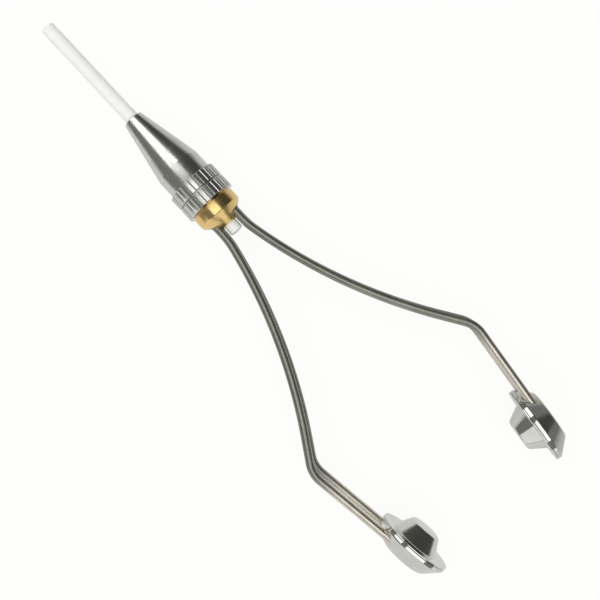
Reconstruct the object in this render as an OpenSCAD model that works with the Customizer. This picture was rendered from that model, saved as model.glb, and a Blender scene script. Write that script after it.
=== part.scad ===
// Bobbin holder for fly tying: a thread tube gripped in a small chuck, a brass hub,
// and two sprung arms of doubled wire whose turning plugs hold the spool.
// The tool points along +X, its left arm lies at +Y, and +Z is up. The origin is the
// middle of the tube's front mouth, and places along the tool are counted back from it.

/* [Thread tube] */
// Outside diameter of the thread tube
tube_d = 2.4; // [1.8:0.05:2.45]
// Bore that the thread runs through
tube_bore_d = 1.1; // [0.6:0.05:1.3]
// Rounding of the tube's outer edges
tube_round = 0.3; // [0.05:0.05:0.4]
// How far the tube stands out of the nose
tube_reach = 21.4; // [5:0.1:22.5]
// How far the tube stands out behind the hub
tube_tail = 1.8; // [0.5:0.05:5]

/* [Nose] */
// Length of the nose's taper
nose_cone_len = 11.15; // [8:0.05:16]
// Length of the plain part between the taper and the collar
nose_plain_len = 3.45; // [3:0.05:8]
// Diameter of the plain part
nose_d = 8.15; // [7.6:0.05:9]
// Diameter of the taper's small end
nose_tip_d = 3.55; // [3.2:0.05:5]
// Edge break of the small end
nose_edge = 0.15; // [0.05:0.05:0.25]
// Clearance of the tube in the nose, on the radius
nose_slip = 0.1; // [0.05:0.01:0.15]

/* [Fluted collars] */
// Diameter of both collars
collar_d = 9.2; // [9.1:0.05:11]
// Width of each collar
collar_w = 2.3; // [1.5:0.05:4]
// Edge break of the collars
collar_edge = 0.12; // [0.05:0.01:0.3]
// Depth of the flutes
flute_depth = 0.14; // [0.1:0.01:0.25]
// Number of flutes round each collar
flute_count = 32; // [20:1:36]
// Diameter of the washer between the collars
lock_washer_d = 8.6; // [7:0.05:9]
// Thickness of the washer between the collars
lock_washer_t = 0.2; // [0.1:0.01:0.4]

/* [Chuck] */
// Outside diameter of the hub's thread
thread_d = 6; // [5.4:0.05:6.3]
// Pitch of the hub's thread
thread_pitch = 0.75; // [0.5:0.05:1]
// Depth of the nose's thread from its rear face
thread_depth = 5; // [4:0.05:5.5]
// Depth of the chuck's chamber in front of the thread
chamber_depth = 3.35; // [3:0.05:4]
// Diameter of the chuck's chamber
chamber_d = 4.9; // [4.8:0.02:5.2]
// Length of the closing ring
closing_len = 2.6; // [1.5:0.05:2.8]
// Diameter of the collet's small end
collet_nose_d = 3.2; // [3:0.02:3.3]
// Diameter of the collet's head
collet_head_d = 4.5; // [4.3:0.02:4.56]
// Diameter of the collet's tail
collet_tail_d = 3.4; // [2.9:0.02:4]
// Length of the collet's tail
collet_tail_len = 3.3; // [2.5:0.05:6]
// Width of the collet's slits
slit_w = 0.3; // [0.1:0.02:0.5]

/* [Hub] */
// Diameter of the hub's flange
flange_d = 8.15; // [7.8:0.05:10]
// Width of the hub's flange
flange_w = 2.05; // [1.8:0.05:4]
// Rounding of the flange's front edge
flange_round = 0.3; // [0.1:0.05:0.5]
// Diameter of the rear cone's small end
tail_d = 3.1; // [2.9:0.02:3.3]
// Length of the rear cone
tail_len = 2.25; // [1.6:0.05:2.5]
// Depth of the pockets that hold the arms, from the flange's rear face
pocket_depth = 1.4; // [0.8:0.05:1.6]

/* [Arms] */
// Diameter of the arms' wire
wire_d = 1.44; // [1.3:0.02:1.5]
// Distance of each arm's root from the tool's axis
root_y = 2.14; // [2.12:0.01:2.4]
// Length of the straight root
root_run = 4.1; // [3:0.05:6]
// Radius of the bend behind the hub
root_bend_r = 15; // [5:0.5:25]
// Angle of the arm behind that bend
root_angle = 11.7; // [8:0.1:14]
// Radius of the arm's long curve
arm_curve_r = 94.5; // [85:0.5:110]
// Angle of the arm where it reaches the knee
knee_angle = 32.8; // [28:0.1:35]
// Length of the straight part before the knee
knee_run = 3.7; // [1:0.05:8]
// Radius of the knee
knee_r = 5; // [3:0.1:10]
// Angle at which the arm runs in again behind the knee
foot_angle = 7.4; // [0:0.1:12]
// Length of the left arm's straight part between the knee and the foot
left_foot_run = 19.2; // [15:0.1:30]
// Length of the right arm's straight part between the knee and the foot
right_foot_run = 18; // [15:0.1:30]
// Radius of the hairpin's bend in the foot
hairpin_r = 3.2; // [2.9:0.02:3.4]

/* [Feet] */
// Diameter of the feet
foot_d = 13.4; // [13:0.1:18]
// Width of the cap's rim
rim_w = 0.62; // [0.2:0.01:0.7]
// Diameter of the cap's outer face
cap_face_d = 8.6; // [8.4:0.05:11]
// Height of the cap behind the rim's inner face
cap_depth = 3.2; // [3.15:0.01:4]
// Edge break of the rims
rim_edge = 0.06; // [0.02:0.01:0.08]
// Depth of the wire's middle below the rim's inner face
wire_seat = 1.68; // [1.66:0.01:1.78]
// Diameter of the drag washer's chamber
drag_d = 10.4; // [8:0.05:12]
// Depth of the drag washer's chamber
drag_depth = 0.9; // [0.4:0.01:0.92]
// Thickness of the plug's brim
brim_t = 0.22; // [0.18:0.01:1]
// Diameter of the plug's cone at the brim
plug_base_d = 8.75; // [6:0.05:12]
// Diameter of the plug's cone at its tip
plug_tip_d = 5.4; // [4:0.05:6]
// Height of the plug above the rim's inner face
plug_height = 3.15; // [2.5:0.05:8]
// Rounding of the plug's tip
plug_round = 0.3; // [0.1:0.05:1]
// Diameter of the plug's spigot
spigot_d = 2.4; // [2.2:0.02:2.6]

/* [Plug screws] */
// Thread diameter of the plug's screw
screw_d = 1.6; // [1.2:0.05:1.8]
// Depth of the screw in the plug, above the rim's inner face
screw_reach = 1.5; // [0.5:0.05:2]
// Diameter of the screw's head
screw_head_d = 3.8; // [3.2:0.05:4.4]
// Thickness of the screw's head
screw_head_t = 0.38; // [0.2:0.01:0.4]
// Width of the screw's slot
slot_w = 0.4; // [0.2:0.05:0.8]
// Depth of the screw's slot
slot_depth = 0.15; // [0.05:0.01:0.18]
// Thickness of the spring washer
spring_t = 0.12; // [0.06:0.01:0.14]
// Depth of the recess for the screw's head
recess_depth = 0.6; // [0.58:0.01:0.62]

/* [Clearances] */
// Clearance of a close fit, on the radius
slip = 0.02; // [0.01:0.005:0.04]
// Clearance of a running fit, on the radius
run_gap = 0.05; // [0.02:0.005:0.08]
// Gap between faces that turn on each other
face_gap = 0.05; // [0.02:0.005:0.06]
// Play of an arm's root in its pocket, to each side
pocket_play = 0.1; // [0.09:0.01:0.12]
// Gap between the two strands of an arm at the hub
strand_gap = 0.04; // [0.02:0.01:0.1]

/* [Hidden] */
$fn = 96;

// How far a cut runs past the face that it opens
overrun = 0.5;
// Straight steps in a quarter round, and in each bend of the wire
corner_steps = 5;
bend_steps = 4;
curve_steps = 12;
knee_steps = 7;
hairpin_steps = 10;
// Sides of the wire
wire_sides = 16;
// How far the collet's small end lies behind the closing ring's front
collet_set = 0.4;
// Length of the collet head's plain land
collet_land = 0.6;
// Room between the nose's chamber and the hub's spigot
chamber_gap = 0.3;
// Share of a turn by which the lock ring backs off
back_off_share = 1 / 3;
// Share of the collet's tail that its slits reach
slit_share = 0.6;

tube_r = tube_d / 2;
tube_bore_r = tube_bore_d / 2;
wire_r = wire_d / 2;
collar_r = collar_d / 2;
thread_r = thread_d / 2;
foot_r = foot_d / 2;
spigot_r = spigot_d / 2;
// Radius of the boss that the hairpin goes round
boss_r = hairpin_r - wire_r - run_gap;

// Places along the tool, counted back from the tube's mouth
nose_front = tube_reach;
nose_shoulder = nose_front + nose_cone_len;
nose_collar = nose_shoulder + nose_plain_len;
nose_rear = nose_collar + collar_w;
thread_floor = nose_rear - thread_depth;
chamber_floor = thread_floor - chamber_depth;
closing_front = chamber_floor + face_gap;
closing_rear = closing_front + closing_len;
collet_front = closing_front + collet_set;
spigot_front = thread_floor + chamber_gap;
collet_shoulder = spigot_front - collet_land;
collet_rear = spigot_front + collet_tail_len;
washer_front = nose_rear + face_gap;
washer_rear = washer_front + lock_washer_t;
ring_front = washer_rear + face_gap;
ring_rear = ring_front + collar_w;
flange_front = ring_rear + back_off_share * thread_pitch + face_gap;
flange_rear = flange_front + flange_w;
tail_rear = flange_rear + tail_len;
tube_len = tail_rear + tube_tail;
pocket_floor = flange_rear - pocket_depth;
root_s = pocket_floor + face_gap;

// Taper of the collet's head, as radius gained per length
collet_slope = (collet_head_d - collet_nose_d) / 2 / (collet_shoulder - collet_front);

// Place and angle on an arm's path in its own plane: counted back from the root,
// counted out from it, and the angle at which the wire runs out
function after_run(from, length) =
    [from[0] + length * cos(from[2]), from[1] + length * sin(from[2]), from[2]];
function in_bend(from, radius, turn, share) =
    let (angle = from[2] + turn * share, bow = sign(turn) * radius) [
        from[0] + bow * (sin(angle) - sin(from[2])),
        from[1] + bow * (cos(from[2]) - cos(angle)),
        angle
    ];
path_root = [0, 0, 0];
path_hub = after_run(path_root, root_run);
path_curve = in_bend(path_hub, root_bend_r, root_angle, 1);
path_rise = in_bend(path_curve, arm_curve_r, knee_angle - root_angle, 1);
path_knee = after_run(path_rise, knee_run);
path_fall = in_bend(path_knee, knee_r, -knee_angle - foot_angle, 1);
function strand_path(foot_run) = concat(
    [path_root],
    [for (i = [0:bend_steps]) in_bend(path_hub, root_bend_r, root_angle, i / bend_steps)],
    [for (i = [1:curve_steps])
        in_bend(path_curve, arm_curve_r, knee_angle - root_angle, i / curve_steps)],
    [for (i = [0:knee_steps])
        in_bend(path_knee, knee_r, -knee_angle - foot_angle, i / knee_steps)],
    [after_run(path_fall, foot_run)]
);

// Each strand's plane tilts about the line of the last straight, so that both strands
// reach the hairpin's bend side by side. These are the line back and the line inwards.
strand_z = wire_r + strand_gap / 2;
back_dir = [-cos(foot_angle), -sin(foot_angle), 0];
in_dir = [sin(foot_angle), -cos(foot_angle), 0];
up_dir = [0, 0, 1];
path_across = path_fall[0] * sin(foot_angle) + path_fall[1] * cos(foot_angle);
strand_tilt = asin((hairpin_r - strand_z) / path_across);

// Vector of an arm's plane, in the part's own frame; up is 1 or -1
function lifted(v, up) =
    let (
        along = v[0] * cos(foot_angle) - v[1] * sin(foot_angle),
        across = v[0] * sin(foot_angle) + v[1] * cos(foot_angle)
    )
    along * back_dir - across * cos(strand_tilt) * in_dir + up * across * sin(strand_tilt) * up_dir;

// Middle of the hairpin's bend, for an arm with this foot run
hairpin_root = [-root_s, root_y, 0];
function hairpin_centre(foot_run) =
    let (end = hairpin_root + lifted(after_run(path_fall, foot_run), 1)) [end[0], end[1], 0];

// Middle points and directions of the whole hairpin: up one strand, round, and back
function hairpin_points(foot_run) =
    let (path = strand_path(foot_run), centre = hairpin_centre(foot_run)) concat(
        [for (p = path) hairpin_root + strand_z * up_dir + lifted(p, 1)],
        [for (i = [1:hairpin_steps - 1]) let (turn = 180 * i / hairpin_steps)
            centre + hairpin_r * (sin(turn) * back_dir + cos(turn) * up_dir)],
        [for (i = [len(path) - 1:-1:0]) hairpin_root - strand_z * up_dir + lifted(path[i], -1)]
    );
function hairpin_ways(foot_run) =
    let (path = strand_path(foot_run)) concat(
        [for (p = path) lifted([cos(p[2]), sin(p[2])], 1)],
        [for (i = [1:hairpin_steps - 1]) let (turn = 180 * i / hairpin_steps)
            cos(turn) * back_dir - sin(turn) * up_dir],
        [for (i = [len(path) - 1:-1:0]) let (p = path[i])
            -lifted([cos(p[2]), sin(p[2])], -1)]
    );

// Heights in a foot, counted inwards from the rim's inner face
brim_low = face_gap;
brim_top = brim_low + brim_t;
recess_floor = recess_depth - cap_depth;
spring_low = recess_floor - spring_t;
spigot_low = spring_low - face_gap;
head_low = spigot_low - screw_head_t;

// Quarter round of a profile, from one angle to a right angle further
function quarter(centre, radius, start) = [
    for (i = [0:corner_steps])
        centre + radius * [cos(start + 90 * i / corner_steps), sin(start + 90 * i / corner_steps)]
];

// Radius of the collet's head at a place along the tool
function collet_r(s) = collet_nose_d / 2 + (s - collet_front) * collet_slope;

// Body of revolution about the tool's axis, from points of radius and place
module turned(profile) {
    rotate([0, -90, 0])
        rotate_extrude()
            polygon(profile);
}

// Ring of straight V flutes, cut into a collar that starts at front
module flutes(front) {
    rotate([0, -90, 0])
        for (i = [0:flute_count - 1])
            rotate([0, 0, i * 360 / flute_count])
                translate([collar_r, 0, front - overrun])
                    cylinder(r = flute_depth, h = collar_w + 2 * overrun, $fn = 4);
}

module thread_tube() {
    color("white")
        turned(concat(
            [[tube_bore_r, 0]],
            quarter([tube_r - tube_round, tube_round], tube_round, -90),
            quarter([tube_r - tube_round, tube_len - tube_round], tube_round, 0),
            [[tube_bore_r, tube_len]]
        ));
}

module nose_cone() {
    color("gainsboro")
        difference() {
            turned([
                [tube_r + nose_slip, nose_front],
                [nose_tip_d / 2 - nose_edge, nose_front],
                [nose_tip_d / 2, nose_front + nose_edge],
                [nose_d / 2, nose_shoulder],
                [nose_d / 2, nose_collar],
                [collar_r - collar_edge, nose_collar],
                [collar_r, nose_collar + collar_edge],
                [collar_r, nose_rear - collar_edge],
                [collar_r - collar_edge, nose_rear],
                [thread_r + run_gap, nose_rear],
                [thread_r + run_gap, thread_floor],
                [chamber_d / 2, thread_floor],
                [chamber_d / 2, chamber_floor],
                [tube_r + nose_slip, chamber_floor]
            ]);
            flutes(nose_collar);
        }
}

module closing_ring() {
    color("silver")
        turned([
            [collet_r(closing_front) + run_gap, closing_front],
            [chamber_d / 2 - run_gap, closing_front],
            [chamber_d / 2 - run_gap, closing_rear],
            [collet_r(closing_rear) + run_gap, closing_rear]
        ]);
}

module collet() {
    slit_len = spigot_front + slit_share * collet_tail_len - collet_front;
    color("goldenrod")
        difference() {
            turned([
                [tube_r + slip, collet_front],
                [collet_nose_d / 2, collet_front],
                [collet_head_d / 2, collet_shoulder],
                [collet_head_d / 2, spigot_front],
                [collet_tail_d / 2, spigot_front],
                [collet_tail_d / 2, collet_rear],
                [tube_r + slip, collet_rear]
            ]);
            for (turn = [0, 90])
                rotate([turn, 0, 0])
                    translate([-collet_front - slit_len, -slit_w / 2, -collet_head_d])
                        cube([slit_len + overrun, slit_w, 2 * collet_head_d]);
        }
}

module lock_washer() {
    color("dimgray")
        turned([
            [thread_r + run_gap, washer_front],
            [lock_washer_d / 2, washer_front],
            [lock_washer_d / 2, washer_rear],
            [thread_r + run_gap, washer_rear]
        ]);
}

module lock_ring() {
    color("gainsboro")
        difference() {
            turned([
                [thread_r + run_gap, ring_front],
                [collar_r - collar_edge, ring_front],
                [collar_r, ring_front + collar_edge],
                [collar_r, ring_rear - collar_edge],
                [collar_r - collar_edge, ring_rear],
                [thread_r + run_gap, ring_rear]
            ]);
            flutes(ring_front);
        }
}

// Pocket for the two strands of one arm, open to the rear
module arm_pocket() {
    pocket_r = wire_r + pocket_play;
    pocket_len = tail_rear - pocket_floor + overrun;
    translate([-pocket_floor, root_y, 0])
        rotate([0, -90, 0]) {
            for (up = [-1, 1])
                translate([up * strand_z, 0, 0])
                    cylinder(r = pocket_r, h = pocket_len);
            translate([-strand_z, -pocket_r, 0])
                cube([2 * strand_z, 2 * pocket_r, pocket_len]);
        }
}

module hub() {
    color("gold")
        difference() {
            turned(concat(
                [
                    [tube_r + slip, spigot_front + collet_tail_len + face_gap],
                    [collet_tail_d / 2 + slip, spigot_front + collet_tail_len + face_gap],
                    [collet_tail_d / 2 + slip, spigot_front],
                    [thread_r - collar_edge, spigot_front],
                    [thread_r, spigot_front + collar_edge],
                    [thread_r, flange_front]
                ],
                quarter([flange_d / 2 - flange_round, flange_front + flange_round], flange_round, -90),
                [
                    [flange_d / 2, flange_rear],
                    [tail_d / 2, tail_rear],
                    [tube_r + slip, tail_rear]
                ]
            ));
            arm_pocket();
            mirror([0, 1, 0])
                arm_pocket();
        }
}

// Ring of corners round the wire's middle point, square to its direction
function wire_ring(middle, way) =
    let (side = cross(way, in_dir) / norm(cross(way, in_dir)), rise = cross(way, side)) [
        for (i = [0:wire_sides - 1])
            let (turn = 360 * i / wire_sides)
            middle + wire_r * (cos(turn) * side + sin(turn) * rise)
    ];

// Tube through rings of corners, closed at both ends
module swept(rings) {
    sides = len(rings[0]);
    last = len(rings) - 1;
    polyhedron(
        points = [for (ring = rings) each ring],
        faces = concat(
            [[for (i = [0:sides - 1]) i]],
            [for (k = [0:last - 1], i = [0:sides - 1])
                let (j = (i + 1) % sides, low = k * sides, high = low + sides)
                    each [[low + i, high + i, low + j], [low + j, high + i, high + j]]],
            [[for (i = [sides - 1:-1:0]) last * sides + i]]
        )
    );
}

module mirrored() {
    mirror([0, 1, 0])
        children();
}

module arm_wire(foot_run) {
    points = hairpin_points(foot_run);
    ways = hairpin_ways(foot_run);
    swept([for (i = [0:len(points) - 1]) wire_ring(points[i], ways[i])]);
}

// Puts what follows in a foot of the left side: X towards the hub, and Z inwards from
// the rim's inner face
module at_foot(foot_run) {
    translate(hairpin_centre(foot_run))
        rotate([90, 0, foot_angle])
            translate([0, 0, wire_seat])
                children();
}

module left_foot() {
    at_foot(left_foot_run)
        children();
}

module right_foot() {
    mirrored()
        at_foot(right_foot_run)
            children();
}

module cap() {
    hole_r = wire_r + slip;
    pocket_low = -wire_seat - hole_r;
    difference() {
        rotate_extrude()
            polygon([
                [spigot_r + run_gap, -drag_depth],
                [drag_d / 2, -drag_depth],
                [drag_d / 2, 0],
                [foot_r - rim_edge, 0],
                [foot_r, -rim_edge],
                [foot_r, -rim_w],
                [cap_face_d / 2, -cap_depth],
                [screw_head_d / 2 + run_gap, -cap_depth],
                [screw_head_d / 2 + run_gap, recess_floor],
                [spigot_r + run_gap, recess_floor]
            ]);
        difference() {
            translate([0, 0, pocket_low])
                cylinder(r = hairpin_r + hole_r, h = -drag_depth - pocket_low + overrun);
            translate([0, 0, pocket_low - overrun])
                cylinder(r = boss_r, h = -drag_depth - pocket_low + overrun);
        }
        for (up = [-1, 1])
            translate([0, up * hairpin_r, -wire_seat])
                rotate([0, 90, 0])
                    cylinder(r = hole_r, h = foot_r);
    }
}

module drag_washer() {
    rotate_extrude()
        polygon([
            [spigot_r + run_gap, -drag_depth],
            [drag_d / 2 - run_gap, -drag_depth],
            [drag_d / 2 - run_gap, 0],
            [spigot_r + run_gap, 0]
        ]);
}

module plug() {
    rotate_extrude()
        polygon(concat(
            [
                [screw_d / 2 + slip, spigot_low],
                [spigot_r, spigot_low],
                [spigot_r, brim_low],
                [foot_r - rim_edge, brim_low],
                [foot_r, brim_low + rim_edge],
                [foot_r, brim_top - rim_edge],
                [foot_r - rim_edge, brim_top],
                [plug_base_d / 2, brim_top]
            ],
            quarter([plug_tip_d / 2 - plug_round, plug_height - plug_round], plug_round, 0),
            [
                [0, plug_height],
                [0, screw_reach + slip],
                [screw_d / 2 + slip, screw_reach + slip]
            ]
        ));
}

module spring_washer() {
    rotate_extrude()
        polygon([
            [spigot_r + run_gap, spring_low],
            [screw_head_d / 2 - run_gap, spring_low],
            [screw_head_d / 2 - run_gap, recess_floor],
            [spigot_r + run_gap, recess_floor]
        ]);
}

module plug_screw() {
    difference() {
        rotate_extrude()
            polygon([
                [0, head_low],
                [screw_head_d / 2, head_low],
                [screw_head_d / 2, spigot_low],
                [screw_d / 2, spigot_low],
                [screw_d / 2, screw_reach],
                [0, screw_reach]
            ]);
        translate([-screw_head_d, -slot_w / 2, head_low - overrun])
            cube([2 * screw_head_d, slot_w, slot_depth + overrun]);
    }
}

module left_arm_wire() { color("slategray") arm_wire(left_foot_run); }
module left_cap() { color("silver") left_foot() cap(); }
module left_drag_washer() { color("saddlebrown") left_foot() drag_washer(); }
module left_plug() { color("gainsboro") left_foot() plug(); }
module left_spring_washer() { color("gray") left_foot() spring_washer(); }
module left_plug_screw() { color("lightgray") left_foot() plug_screw(); }

module right_arm_wire() { color("slategray") mirrored() arm_wire(right_foot_run); }
module right_cap() { color("silver") right_foot() cap(); }
module right_drag_washer() { color("saddlebrown") right_foot() drag_washer(); }
module right_plug() { color("gainsboro") right_foot() plug(); }
module right_spring_washer() { color("gray") right_foot() spring_washer(); }
module right_plug_screw() { color("lightgray") right_foot() plug_screw(); }

thread_tube();
nose_cone();
closing_ring();
collet();
lock_washer();
lock_ring();
hub();
left_arm_wire();
left_cap();
left_drag_washer();
left_plug();
left_spring_washer();
left_plug_screw();
right_arm_wire();
right_cap();
right_drag_washer();
right_plug();
right_spring_washer();
right_plug_screw();
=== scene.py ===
"""Bobbin holder for fly tying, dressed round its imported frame.

The tool lies along X with its tube's mouth at the origin, its left arm at +Y and +Z up.
Places along the tool are counted back from the mouth, as in the part's source. Every new
piece is a surface worked out from two parameters, in metres, in the frame's own axes.
"""

import math

import bmesh
import bpy
import numpy as np
from mathutils import Matrix, Vector


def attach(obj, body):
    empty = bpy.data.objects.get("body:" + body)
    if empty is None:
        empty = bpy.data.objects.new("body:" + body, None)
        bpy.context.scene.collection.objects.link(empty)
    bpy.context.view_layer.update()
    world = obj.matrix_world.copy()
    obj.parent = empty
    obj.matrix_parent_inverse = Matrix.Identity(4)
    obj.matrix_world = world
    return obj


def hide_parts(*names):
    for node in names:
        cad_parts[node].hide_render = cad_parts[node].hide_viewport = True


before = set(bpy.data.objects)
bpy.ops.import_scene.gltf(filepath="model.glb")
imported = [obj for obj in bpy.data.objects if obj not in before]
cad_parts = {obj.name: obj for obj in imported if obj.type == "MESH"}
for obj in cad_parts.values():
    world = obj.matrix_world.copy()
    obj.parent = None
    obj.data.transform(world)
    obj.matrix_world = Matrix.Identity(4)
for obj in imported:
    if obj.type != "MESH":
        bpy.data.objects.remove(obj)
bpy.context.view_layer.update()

bl_info = {
    "name": "Fly tying bobbin holder",
    "version": (1, 0, 0),
    "blender": (4, 5, 0),
    "location": "View3D > Sidebar > Bobbin holder",
    "description": "Builds the looks of a fly tying bobbin holder piece by piece",
    "category": "Object",
}

LEFT, RIGHT = 1, -1
SIDE_NAMES = {LEFT: "left", RIGHT: "right"}

# Points round one turn of each kind of piece, round half a turn, and along the thread
TUBE_SIDES, HUB_SIDES, FOOT_SIDES, WIRE_SIDES = 96, 192, 144, 28
HOLE_SIDES, FLOOR_SIDES, HALF_TURN, THREAD_ROWS = 48, 96, 24, 80

# Edge breaks in metres, and the most of a side that one may take
FINE, SMALL, ROUND = 0.00003, 0.00008, 0.0002
LONGEST_CUT = 0.45

# Gap that keeps a mating surface clear of the wire or the spigot in it
WIRE_PLAY, SPIGOT_PLAY = 0.00002, 0.00005

# Rounding of a flute's floor
FLOOR_ROUND = 0.00002

# Length by which a cutting solid passes the surface that it leaves by
PAST_END = 0.001


# Sizes and colours that a user would change


def size(name, text, default):
    """Property that holds a length in metres."""
    return bpy.props.FloatProperty(name=name, description=text, default=default, unit="LENGTH")


def slant(name, text, degrees):
    """Property that holds an angle, given in degrees."""
    return bpy.props.FloatProperty(
        name=name, description=text, default=math.radians(degrees), unit="ROTATION"
    )


def tint(name, text, default):
    """Property that holds a colour, in linear values."""
    return bpy.props.FloatVectorProperty(
        name=name, description=text, default=default, subtype="COLOR", min=0, max=1
    )


class TubeSizes(bpy.types.PropertyGroup):
    """Sizes of the thread tube"""

    length: size("Length", "Length of the thread tube", 0.0473)
    outside: size("Diameter", "Outside diameter of the tube", 0.0024)
    bore: size("Bore", "Bore that the thread runs through", 0.0011)
    rounding: size("Rounding", "Rounding of the outer edges", 0.0003)


class NoseSizes(bpy.types.PropertyGroup):
    """Sizes of the polished nose"""

    front: size("Front", "Place of the small end", 0.0214)
    shoulder: size("Shoulder", "Place of the taper's end", 0.03255)
    collar: size("Collar", "Place of the collar's front", 0.036)
    rear: size("Rear", "Place of the rear face", 0.0383)
    tip: size("Tip", "Diameter of the small end", 0.00355)
    body: size("Body", "Diameter of the plain part", 0.00815)
    hole: size("Hole", "Diameter of the hole round the tube", 0.0026)
    thread_floor: size("Thread floor", "Place where the thread ends", 0.0333)
    chamber_floor: size("Chamber floor", "Place where the chamber ends", 0.02995)
    chamber: size("Chamber", "Diameter of the chuck's chamber", 0.0049)


class CollarSizes(bpy.types.PropertyGroup):
    """Sizes of the two fluted collars"""

    outside: size("Diameter", "Diameter of both collars", 0.0092)
    edge: size("Edge", "Edge break of the collars", 0.00012)
    flute_depth: size("Flute depth", "Depth of the flutes", 0.00011)
    flutes: bpy.props.IntProperty(
        name="Flutes", description="Number of flutes round a collar", default=32, min=12
    )
    ring_front: size("Ring front", "Place of the lock ring's front", 0.0386)
    ring_rear: size("Ring rear", "Place of the lock ring's rear", 0.0409)
    thread_hole: size("Thread hole", "Diameter of the holes on the hub's thread", 0.0061)


class HubSizes(bpy.types.PropertyGroup):
    """Sizes of the brass hub"""

    spigot_front: size("Spigot front", "Place of the spigot's front", 0.0336)
    flange_front: size("Flange front", "Place of the flange's front", 0.0412)
    flange_rear: size("Flange rear", "Place of the flange's rear edge", 0.04325)
    tail_rear: size("Tail rear", "Place of the rear cone's end", 0.0455)
    thread: size("Thread", "Outside diameter of the thread", 0.006)
    pitch: size("Pitch", "Pitch of the thread", 0.00075)
    thread_depth: size("Thread depth", "Depth of the thread", 0.0003)
    flange: size("Flange", "Diameter of the flange", 0.00815)
    tail: size("Tail", "Diameter of the rear cone's end", 0.0031)
    collet_bore: size("Collet bore", "Diameter of the bore for the collet", 0.00344)
    collet_floor: size("Collet floor", "Place where the collet's bore ends", 0.03695)
    tube_bore: size("Tube bore", "Diameter of the bore for the tube", 0.00244)
    pocket_floor: size("Pocket floor", "Place of the arm pockets' floor", 0.04185)
    pocket_play: size("Pocket play", "Play of an arm's root in its pocket", 0.0001)


class ArmSizes(bpy.types.PropertyGroup):
    """Sizes of the two arms of doubled wire"""

    wire: size("Wire", "Diameter of the wire", 0.00144)
    strand_gap: size("Strand gap", "Gap between the strands at the hub", 0.00004)
    root_back: size("Root place", "Place where an arm starts", 0.0419)
    root_out: size("Root distance", "Distance of an arm's root from the axis", 0.00214)
    root_run: size("Root run", "Length of the straight root", 0.0041)
    root_bend: size("Root bend", "Radius of the bend behind the hub", 0.015)
    root_angle: slant("Root angle", "Angle of the arm behind that bend", 11.7)
    curve: size("Curve", "Radius of the arm's long curve", 0.0945)
    knee_angle: slant("Knee angle", "Angle of the arm at the knee", 32.8)
    knee_run: size("Knee run", "Straight length before the knee", 0.0037)
    knee_bend: size("Knee bend", "Radius of the knee", 0.005)
    foot_angle: slant("Foot angle", "Angle at which the arm runs in again", 7.4)
    left_foot_run: size("Left foot run", "Straight length between left knee and foot", 0.0192)
    right_foot_run: size("Right foot run", "Straight length between right knee and foot", 0.018)
    hairpin: size("Hairpin", "Radius of the bend in the foot", 0.0032)


class FootSizes(bpy.types.PropertyGroup):
    """Sizes of the two feet with their turning plugs"""

    rim: size("Diameter", "Diameter of the feet", 0.0134)
    rim_width: size("Rim width", "Width of the cap's rim", 0.00062)
    face: size("Face", "Diameter of the cap's outer face", 0.0086)
    depth: size("Depth", "Height of the cap behind its rim", 0.0032)
    seat: size("Seat", "Depth of the wire below the rim", 0.00168)
    chamber: size("Chamber", "Diameter of the drag washer's chamber", 0.0104)
    chamber_depth: size("Chamber depth", "Depth of the drag washer's chamber", 0.0009)
    boss_play: size("Boss play", "Gap between the hairpin and the boss inside it", 0.00005)
    spigot: size("Spigot", "Diameter of the plug's spigot", 0.0024)
    spigot_end: size("Spigot end", "Depth of the spigot's end", 0.00277)
    recess: size("Recess", "Diameter of the recess for the screw", 0.0039)
    recess_depth: size("Recess depth", "Depth of the recess for the screw", 0.0006)
    brim_low: size("Brim gap", "Gap between the rim and the brim", 0.00005)
    brim: size("Brim", "Thickness of the plug's brim", 0.00022)
    plug_base: size("Plug base", "Diameter of the plug at the brim", 0.00875)
    plug_tip: size("Plug tip", "Diameter of the plug at its tip", 0.0054)
    plug_height: size("Plug height", "Height of the plug above the rim", 0.00315)
    screw_hole: size("Screw hole", "Diameter of the hole for the screw", 0.00164)
    screw_reach: size("Screw reach", "Height of that hole's end", 0.00152)


class FinishColours(bpy.types.PropertyGroup):
    """Colours of the finishes"""

    steel: tint("Steel", "Colour of the polished steel", (0.74, 0.745, 0.705))
    wire: tint("Wire", "Colour of the drawn spring wire", (0.37, 0.37, 0.325))
    # Painted highlight: the wire's colour near the feet, far brighter than its own colour
    wire_highlight: tint("Wire end", "Colour of the brighter wire near the feet", (0.86, 0.80, 0.70))
    brass: tint("Brass", "Colour of the polished brass", (0.96, 0.69, 0.29))
    ceramic: tint("Ceramic", "Colour of the thread tube", (0.85, 0.855, 0.835))
    washer: tint("Washer", "Colour of the drag washers", (0.78, 0.75, 0.68))
    dark: tint("Washer steel", "Colour of the thin washers", (0.52, 0.52, 0.50))


class StageSettings(bpy.types.PropertyGroup):
    """Floor, light and camera"""

    floor_radius: size("Floor radius", "Radius of the floor", 3.0)
    floor_at_mouth: size("Floor height", "Height of the floor under the tube's mouth", -0.003526)
    floor_tilt: slant("Floor tilt", "Fall of the floor towards the feet", 1.741)
    lens: bpy.props.FloatProperty(
        name="Lens", description="Focal length of the camera", default=56.363, unit="CAMERA"
    )


GROUPS = {
    "bobbin_tube": TubeSizes,
    "bobbin_nose": NoseSizes,
    "bobbin_collars": CollarSizes,
    "bobbin_hub": HubSizes,
    "bobbin_arms": ArmSizes,
    "bobbin_feet": FootSizes,
    "bobbin_colours": FinishColours,
    "bobbin_stage": StageSettings,
}


# Surfaces


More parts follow.
